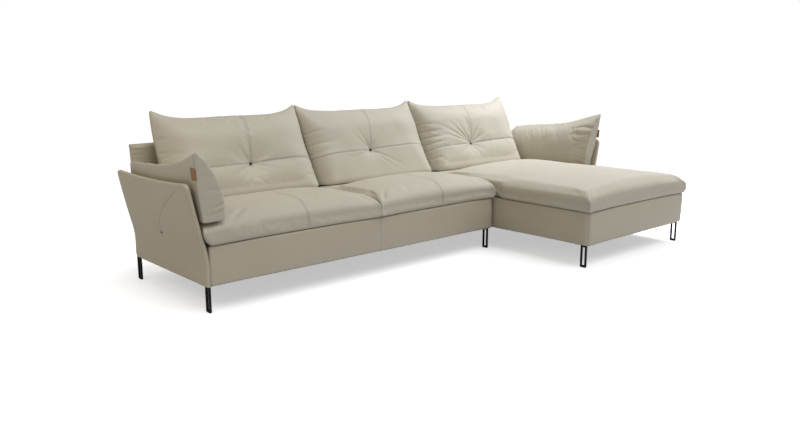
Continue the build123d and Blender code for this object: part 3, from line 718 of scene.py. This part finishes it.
# Arm panels: thin upholstered boards that bend outwards, with a pin tuck on the outer face
def arm_panel(side, name, body):
    """One arm panel. side is -1 on the left and 1 on the right."""
    low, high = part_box(f"{name}_arm_cover")
    pin_low, pin_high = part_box(f"{name}_arm_pin")
    inner = high.x if side < 0 else low.x
    outer = low.x if side < 0 else high.x
    foot = inner + side * arm_thickness
    flare = abs(outer - foot)
    rise = marks(high.z - low.z, 0.010, 0.02)
    along = marks(high.y - low.y, 0.010, 0.02)
    a, b = np.meshgrid(along / along[-1], rise / rise[-1])
    length = high.y - low.y
    top = high.z - low.z - arm_dip * (1 - (2 * a - 1) ** 2) - arm_rear_drop * a
    z = b * top
    below = top - z
    front_in = arm_front_corner * (1 - np.sqrt(1 - np.clip(1 - below / arm_front_corner, 0, 1) ** 2))
    rear_in = arm_rear_corner * (1 - np.sqrt(1 - np.clip(1 - below / arm_rear_corner, 0, 1) ** 2))
    heel = arm_rear_corner * (1 - np.sqrt(1 - np.clip(1 - z / arm_rear_corner, 0, 1) ** 2))
    rear_in = rear_in + arm_rake * b + heel
    y = low.y + front_in + a * (length - front_in - rear_in)

    # The outer face's curve, by height
    heights = np.linspace(-0.1, high.z - low.z + 0.1, 500)
    share = np.maximum(heights - arm_bend, 0) / (high.z - low.z - arm_bend)
    curve = flare * share * (1 + bulge - bulge * share)
    reach = round(bend_reach / (heights[1] - heights[0]))
    curve = np.convolve(curve, np.ones(2 * reach + 1) / (2 * reach + 1), mode="same")
    slope = np.gradient(curve, heights)
    x_out = np.interp(z, heights, curve)
    tilt = np.arctan(np.interp(z, heights, slope))
    normal = np.dstack([side * np.cos(tilt), np.zeros_like(z), -np.sin(tilt)])
    edge = np.minimum(np.minimum(a, 1 - a) * length, np.minimum(b, 1 - b) * (high.z - low.z))
    half = arm_thickness / 2 * rounded(edge, arm_edge, 2.4)
    middle = np.dstack([foot + side * x_out, y, low.z + z]) - normal * arm_thickness / 2
    thick = normal * half[..., None]
    panel = closed_pair(f"{name}_arm_soft", middle + thick, middle - thick)
    subdivide(panel)

    points = points_of(panel)
    outside = side * normals_of(panel)[:, 0] > 0.2
    flat = points[:, 1:]
    pin = np.array((pin_low + pin_high) / 2)[1:]
    reach = np.linalg.norm(flat - pin, axis=1)
    depth = pin_tuck * np.exp(-reach / pin_reach) - 0.004 * np.exp(-((reach / 0.15) ** 2))
    # Painted shade along the crease from the pin and round the pin itself
    painted_shade = np.zeros(len(points))
    path = [pin, pin + (-0.02, 0.05), pin + (-0.06, 0.10), pin + (-0.15, 0.17), pin + (-0.33, 0.265)]
    for start, end in zip(path[:-1], path[1:]):
        gap, _ = from_line(flat, start, end)
        depth += 0.5 * fold(gap, 0.0035, 0.008)
        painted_shade = np.maximum(painted_shade, 0.35 * np.exp(-((gap / 0.005) ** 2)))
    for end, deep in ((pin + (0.17, 0.12), 0.006), (pin + (0.02, -0.16), 0.0015)):
        gap, share = from_line(flat, pin, end)
        depth += fold(gap, deep, 0.010 + 0.02 * share) * (1 - share)
    gap = np.minimum(np.abs(points[:, 1] - low.y - 0.012), np.abs(points[:, 1] - high.y + 0.012))
    depth += fold(gap, 0.0015, 0.004)
    depth = np.minimum(depth + 0.0012 * waves(points, 0.3, 3), tuck_limit)
    sink(panel, depth * outside, (painted_shade + 0.5 * np.exp(-((reach / 0.008) ** 2))) * outside)
    finish_piece(panel, body, [f"{name}_arm_cover"], frame_leather)


arm_panel(-1, "left", "sofa_section")
arm_panel(1, "right", "chaise_section")


# Arm cushions: wedges with a gusset sewn into the front end
def tag_line(name, z):
    """X of the middle of an arm cushion's tab at a height."""
    solid = points_of(frame["nodes"][f"arm_tag_{name}"])
    return np.polyval(np.polyfit(solid[:, 2], solid[:, 0], 1), z)


def arm_cushion(side, name, body, ridges, rest_tilt, nose_width, tail, seam_depth, end_folds, face_folds):
    """One arm cushion standing on the seat. side is -1 on the left and 1 on the right.
    end_folds lie on its front end, by width and height. face_folds lie on its inner face, by the distance
    from its front end and height."""
    node = f"arm_cushion_{name}"
    low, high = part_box(node)
    heel = (low.x if side < 0 else high.x) - side * rest_heel
    nose = low.y + (high.z - low.z) * np.tan(rest_tilt)
    length = high.y - nose
    ridge_curve = np.polyfit(rest_marks, ridges, 3)
    on_foot = np.linspace(0, 1, 14)[:-1]
    on_face = np.linspace(0, 1, 34)[:-1]

    def section(share):
        """Points round the cushion at a share of its length: its foot, its belly, then its back."""
        ridge = np.polyval(ridge_curve, share)
        wide = rest_width * np.interp(share, (0, 0.15, 1), (nose_width, 1, 1))
        swell = 4 * rest_belly * on_face * (1 - on_face)
        hollow = 4 * rest_swell * on_face * (1 - on_face)
        belly_x = wide - (rest_lean + wide) * on_face + 0.95 * swell
        behind_x = -rest_lean * (1 - on_face) - hollow
        px = np.concatenate([wide * on_foot, belly_x, behind_x])
        pz = np.concatenate([0 * on_foot, ridge * on_face + 0.35 * swell, ridge * (1 - on_face)])
        tilt = np.tan(rest_tilt) * np.clip(1 - share / 0.12, 0, 1)
        back = tail * pz / ridge * share ** 3
        return np.stack([heel - side * px, nose + share * length - pz * tilt + back, low.z + pz], axis=1)

    shares = np.concatenate([[0, 0.004, 0.012], np.linspace(0.024, 0.97, 60), [0.985, 0.995, 1]])
    rings = np.array([section(s) for s in shares])
    inward = np.linspace(0, 1, 9)[1:-1]
    front_centre = rings[0].mean(axis=0)
    rear_centre = rings[-1].mean(axis=0)
    front = np.array([rings[0] + (front_centre - rings[0]) * s for s in inward])[::-1]
    rear = np.array([rings[-1] + (rear_centre - rings[-1]) * s for s in inward])
    rear[..., 1] += 0.012 * (1 - (1 - inward[:, None]) ** 2)
    skin = np.concatenate([front, rings, rear])
    count = skin.shape[1]
    index = np.arange(skin.shape[0] * count).reshape(skin.shape[0], count)
    index = np.concatenate([index, index[:, :1]], axis=1)
    points = np.vstack([skin.reshape(-1, 3), front_centre, rear_centre])
    faces = quads(index)
    for ring, centre in ((index[0], len(points) - 2), (index[-1], len(points) - 1)):
        faces += [[int(p), int(q), centre] for p, q in zip(ring[:-1], ring[1:])]
    cushion = add_object(f"{node}_soft", points, faces)
    remesh(cushion, rest_mesh)

    points = points_of(cushion)
    from_front = points[:, 1] - nose + (points[:, 2] - low.z) * np.tan(rest_tilt)
    backside = side * (points[:, 0] - heel) > -0.004
    hold = np.where((points[:, 2] < low.z + 0.006) | backside, 1.0, 0.0)
    hold = np.where(np.abs(from_front) < 0.005, np.maximum(hold, 0.8), hold)
    hold = np.where(points[:, 1] > high.y + min(tail, 0) - 0.008, np.maximum(hold, 0.8), hold)
    puff(cushion, hold, *rest_puff)
    subdivide(cushion)

    points = points_of(cushion)
    from_front = points[:, 1] - nose + (points[:, 2] - low.z) * np.tan(rest_tilt)
    rise = points[:, 2] - low.z
    seam = np.abs(from_front - gusset)
    depth = 0.0015 * waves(points, 0.16, 11) + fold(seam, seam_depth, 0.005)
    end = np.stack([side * (heel - points[:, 0]), rise], axis=1)
    near_front = np.exp(-((np.maximum(from_front, 0) / 0.05) ** 2))
    for start, stop, deep in end_folds:
        gap, share = from_line(end, start, stop)
        depth += fold(gap, deep, 0.009) * near_front * np.sin(pi * np.clip(share, 0.1, 0.95))
    face = np.stack([from_front, rise + 0.009 * np.sin(from_front * 24 + rise * 30)], axis=1)
    inner = np.clip(-side * normals_of(cushion)[:, 0] * 3, 0, 1)
    for start, stop, deep, wide in face_folds:
        gap, share = from_line(face, start, stop)
        depth += fold(gap, deep, wide) * inner * (1 - share) ** 0.6 * np.clip(from_front / 0.01, 0, 1)
    # Painted shade in the groove of the gusset seam
    sink(cushion, depth, 90 * seam_depth * np.exp(-((seam / 0.004) ** 2)))

    # Pressed in under its tab
    points = keep_above(cushion, low.z)
    tag_low, tag_high = np.array(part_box(f"arm_tag_{name}"))
    centre = (tag_low + tag_high) / 2
    half = (tag_high - tag_low) / 2
    beside = np.maximum(np.abs(points[:, 1] - centre[1]) - half[1], 0)
    above = np.maximum(np.abs(points[:, 2] - centre[2]) - half[2], 0)
    limit = side * tag_line(name, points[:, 2]) - 0.003 + np.hypot(beside, above)
    outer = side * (points[:, 0] - heel) > -0.03
    points[:, 0] = np.where(outer, side * np.minimum(side * points[:, 0], limit), points[:, 0])
    place_points(cushion, points)
    finish_piece(cushion, body, [node], cushion_leather)


gusset_folds = [
    ((0.02, 0.030), (0.125, 0.058), 0.005),
    ((0.04, 0.062), (0.130, 0.092), 0.006),
    ((0.00, 0.158), (0.125, 0.150), 0.003),
    ((0.00, 0.225), (0.085, 0.210), 0.002),
]
wrinkles = [
    ((0.00, 0.285), (0.190, 0.255), 0.007, 0.010),
    ((0.00, 0.245), (0.190, 0.212), 0.009, 0.011),
    ((0.05, 0.172), (0.180, 0.208), 0.006, 0.009),
    ((0.00, 0.172), (0.110, 0.140), 0.007, 0.010),
    ((0.00, 0.112), (0.150, 0.116), 0.004, 0.010),
    ((0.00, 0.062), (0.140, 0.060), 0.006, 0.009),
    ((0.01, 0.022), (0.120, 0.048), 0.006, 0.009),
]
arm_cushion(
    -1,
    "left",
    "arm_rest_left",
    left_ridges,
    left_tilt,
    left_nose,
    left_tail,
    0.004,
    gusset_folds,
    wrinkles[3:],
)
arm_cushion(
    1,
    "right",
    "arm_rest_right",
    right_ridges,
    right_tilt,
    right_nose,
    right_tail,
    0.001,
    gusset_folds,
    wrinkles,
)


# Tan leather tabs, sewn in at the front seam
def arm_tag(name, body):
    """A thin flat tab, tilted along the solid's slope, where the solid one is."""
    node = f"arm_tag_{name}"
    low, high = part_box(node)
    u, v = np.meshgrid(marks(high.y - low.y, 0.003, 0.003), marks(high.z - low.z, 0.004, 0.003))
    x = tag_line(name, low.z + v)
    edge = np.minimum(np.minimum(u, high.y - low.y - u), np.minimum(v, high.z - low.z - v))
    half = 0.0016 * rounded(edge, 0.002, 2)
    front = np.dstack([x - half, low.y + u, low.z + v])
    rear = np.dstack([x + half, low.y + u, low.z + v])
    tag = closed_pair(f"{node}_soft", front, rear)
    finish_piece(tag, body, [node], slot_materials["tan_leather"])


arm_tag("left", "arm_rest_left")
arm_tag("right", "arm_rest_right")


# Base covers: a padded wall round each frame
def outline(corners, step):
    """Points round a plan of corners, each an X, a Y and a radius, with their outward normals."""
    places = []
    normals = []
    for k, (x, y, radius) in enumerate(corners):
        here = np.array((x, y))
        back = np.array(corners[k - 1][:2]) - here
        ahead = np.array(corners[(k + 1) % len(corners)][:2]) - here
        reach = np.linalg.norm(ahead)
        back = back / np.linalg.norm(back)
        ahead = ahead / reach
        turn = np.sign(back[1] * ahead[0] - back[0] * ahead[1])
        centre = here + radius * (back + ahead)
        for share in np.linspace(0, 1, 7):
            arm = -(ahead * cos(share * pi / 2) + back * sin(share * pi / 2))
            places.append(centre + radius * arm)
            normals.append(arm * turn)
        next_radius = corners[(k + 1) % len(corners)][2]
        straight = np.arange(radius + step, reach - next_radius - step / 2, step)
        side = np.array((ahead[1], -ahead[0]))
        for distance in straight:
            places.append(here + ahead * distance)
            normals.append(side)
    return np.array(places), np.array(normals)


def base_cover(node, body, corners, seams):
    """The padded wall of one base, round in plan at its corners."""
    low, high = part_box(node)
    tall = high.z - low.z
    places, normals = outline(corners, 0.014)
    rises = marks(tall, 0.014, 0.016)
    edge = np.minimum(rises, tall - rises)
    belly = base_puff * (1 - (2 * rises / tall - 1) ** 2)
    outset = base_round * (rounded(edge, base_round, 2) - 1) + belly
    profile = [(o, low.z + r) for o, r in zip(outset, rises)]
    profile += [(-base_wall, high.z), (-base_wall, (low.z + high.z) / 2), (-base_wall, low.z)]
    rings = [np.column_stack([places + normals * o, np.full(len(places), z)]) for o, z in profile]
    rings = np.array(rings + rings[:1])
    grid = np.concatenate([rings, rings[:, :1]], axis=1)
    index = np.arange(grid.shape[0] * grid.shape[1]).reshape(grid.shape[:2])
    cover = add_object(f"{node}_soft", grid.reshape(-1, 3), quads(index))
    subdivide(cover)
    points = points_of(cover)
    depth = 0.0012 * waves(points, 0.35, 8)
    painted_shade = np.zeros(len(points))
    for seam_x, seam_y in seams:
        gap = np.hypot(points[:, 0] - seam_x, points[:, 1] - seam_y)
        depth = depth + fold(gap, *base_seam)
        # Painted shade in the seam's groove
        painted_shade = painted_shade + 0.5 * np.exp(-((gap / 0.004) ** 2))
    sink(cover, depth, painted_shade)
    finish_piece(cover, body, [node], frame_leather)


notch = chaise_high.x - arm_thickness
notch_y = sofa_low.y - 0.003
seat_joint = (left_high.x + middle_low.x) / 2
base_cover(
    "sofa_base_cover",
    "sofa_section",
    [
        (sofa_low.x, sofa_low.y, 0.010),
        (sofa_high.x, sofa_low.y, base_corner),
        (sofa_high.x, sofa_high.y, base_corner),
        (sofa_low.x, sofa_high.y, 0.010),
    ],
    [(seat_joint, sofa_low.y)],
)
base_cover(
    "chaise_base_cover",
    "chaise_section",
    [
        (chaise_low.x, chaise_low.y, base_corner),
        (chaise_high.x, chaise_low.y, base_corner),
        (chaise_high.x, notch_y, 0.006),
        (notch, notch_y, 0.006),
        (notch, chaise_high.y, 0.010),
        (chaise_low.x, chaise_high.y, 0.010),
    ],
    [(chaise_low.x + 0.006, chaise_low.y + 0.006)],
)


# Back panels: padded boards that lean back
def back_panel(prefix, body):
    """One back panel, with pleats where its cover is pulled round the ends."""
    node = f"{prefix}_back_cover"
    low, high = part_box(node)
    tall = high.z - low.z
    width = high.x - low.x
    shift = high.y - low.y - back_thickness
    u, v = np.meshgrid(marks(width, 0.014, 0.03), marks(tall, 0.012, 0.03))
    edge = np.minimum(np.minimum(u, width - u), tall - v)
    half = back_thickness / 2 * rounded(edge, back_round, 2.2) * rounded(v, 0.004, 2)
    centre = np.dstack([low.x + u, low.y + back_thickness / 2 + shift * v / tall, low.z + v])
    thick = np.array((0, 1, 0)) * half[..., None]
    panel = closed_pair(f"{node}_soft", centre - thick, centre + thick)
    subdivide(panel)
    points = points_of(panel)
    ends = np.minimum(points[:, 0] - low.x, high.x - points[:, 0])
    pleats = np.exp(-((ends / 0.10) ** 2)) * np.clip((points[:, 2] - low.z - 0.2) / 0.1, 0, 1)
    ripple = np.sin(2 * pi * points[:, 2] / pleat_pitch + 6 * points[:, 0])
    depth = 0.0018 * pleats * np.maximum(ripple, 0) ** 4
    depth = depth + 0.0015 * waves(points, 0.3, 21)
    # Painted shade in the pleats, the deeper the darker
    sink(panel, depth, 0.4 * np.clip(depth / 0.0018, 0, 1))
    finish_piece(panel, body, [node], frame_leather)


back_panel("sofa", "sofa_section")
back_panel("chaise", "chaise_section")


# Felt decks under the seat cushions
def deck_pad(prefix, body):
    """A quilted felt pad on the webbing."""
    node = f"{prefix}_deck_pad"
    low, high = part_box(node)
    width, depth = high.x - low.x, high.y - low.y
    u, v = np.meshgrid(marks(width, 0.02, 0.01), marks(depth, 0.02, 0.01))
    edge = np.minimum(np.minimum(u, width - u), np.minimum(v, depth - v))
    half = (high.z - low.z) / 2
    round_edge = half * rounded(edge, 0.008, 2)
    quilt = 0.0015 * (np.abs(np.sin(pi * u / quilt_pitch) * np.sin(pi * v / quilt_pitch)) ** 0.5 - 1)
    top = low.z + half + round_edge + quilt * (edge > 0.01)
    pad = closed_pair(
        f"{node}_soft",
        np.dstack([low.x + u, low.y + v, top]),
        np.dstack([low.x + u, low.y + v, low.z + half - round_edge]),
    )
    finish_piece(pad, body, [node], slot_materials["deck_felt"])


deck_pad("sofa", "sofa_section")
deck_pad("chaise", "chaise_section")


# Floor, light and camera
def soft_lamp(name, place, target, size, power, tone):
    """A round lamp that looks at a target."""
    data = bpy.data.lights.new(name, "AREA")
    data.shape = "DISK"
    data.size = size
    data.energy = power
    data.color = tone
    lamp = bpy.data.objects.new(name, data)
    lamp.location = place
    lamp.rotation_euler = (Vector(target) - Vector(place)).to_track_quat("-Z", "Y").to_euler()
    lamp.visible_glossy = False
    scene.collection.objects.link(lamp)


def stage():
    """A white floor that keeps the shadow, two soft lamps, a sun, an even sky, and the camera."""
    bpy.ops.mesh.primitive_plane_add(size=floor_size, location=(0, 0, 0))
    floor = bpy.context.object
    floor.name = "floor"
    material = bpy.data.materials.new("floor")
    material.use_nodes = True
    nodes = material.node_tree.nodes
    links = material.node_tree.links
    nodes.clear()
    output = nodes.new("ShaderNodeOutputMaterial")
    matte = nodes.new("ShaderNodeBsdfDiffuse")
    glow = nodes.new("ShaderNodeEmission")
    path = nodes.new("ShaderNodeLightPath")
    tone = nodes.new("ShaderNodeMixRGB")
    tone.inputs["Color1"].default_value = (floor_bounce, floor_bounce, floor_bounce, 1)
    tone.inputs["Color2"].default_value = (floor_tone, floor_tone, floor_tone, 1)
    links.new(path.outputs["Is Camera Ray"], tone.inputs["Fac"])
    links.new(tone.outputs["Color"], matte.inputs["Color"])
    lift = nodes.new("ShaderNodeMath")
    lift.operation = "MULTIPLY"
    lift.inputs[1].default_value = floor_lift
    both = nodes.new("ShaderNodeAddShader")
    links.new(path.outputs["Is Camera Ray"], lift.inputs[0])
    links.new(lift.outputs["Value"], glow.inputs["Strength"])
    links.new(matte.outputs["BSDF"], both.inputs[0])
    links.new(glow.outputs["Emission"], both.inputs[1])
    links.new(both.outputs["Shader"], output.inputs["Surface"])
    floor.data.materials.append(material)

    soft_lamp("key", key_place, key_target, key_size, key_power, key_tone)
    soft_lamp("side", side_place, side_target, side_size, side_power, side_tone)

    sun_data = bpy.data.lights.new("sun", "SUN")
    sun_data.energy = sun_strength
    sun_data.color = sun_tone
    sun_data.angle = radians(sun_angle)
    sun = bpy.data.objects.new("sun", sun_data)
    sun.rotation_euler = (radians(sun_tilt[0]), radians(sun_tilt[1]), 0)
    scene.collection.objects.link(sun)

    world = bpy.data.worlds.new("sky")
    scene.world = world
    world.use_nodes = True
    nodes = world.node_tree.nodes
    links = world.node_tree.links
    sky = nodes["Background"]
    sky.inputs["Color"].default_value = (1, 1, 1, 1)
    path = nodes.new("ShaderNodeLightPath")
    strength = nodes.new("ShaderNodeMapRange")
    strength.inputs["To Min"].default_value = sky_strength
    strength.inputs["To Max"].default_value = 1.0
    links.new(path.outputs["Is Camera Ray"], strength.inputs["Value"])
    links.new(strength.outputs["Result"], sky.inputs["Strength"])

    camera_data = bpy.data.cameras.new("camera")
    camera_data.sensor_fit = "HORIZONTAL"
    camera_data.sensor_width = 36
    camera_data.lens = camera_lens
    camera = bpy.data.objects.new("camera", camera_data)
    camera.location = camera_place
    camera.rotation_euler = (radians(90 - camera_pitch), 0, radians(-camera_yaw))
    scene.collection.objects.link(camera)
    scene.camera = camera


stage()
scene.view_settings.view_transform = "Standard"
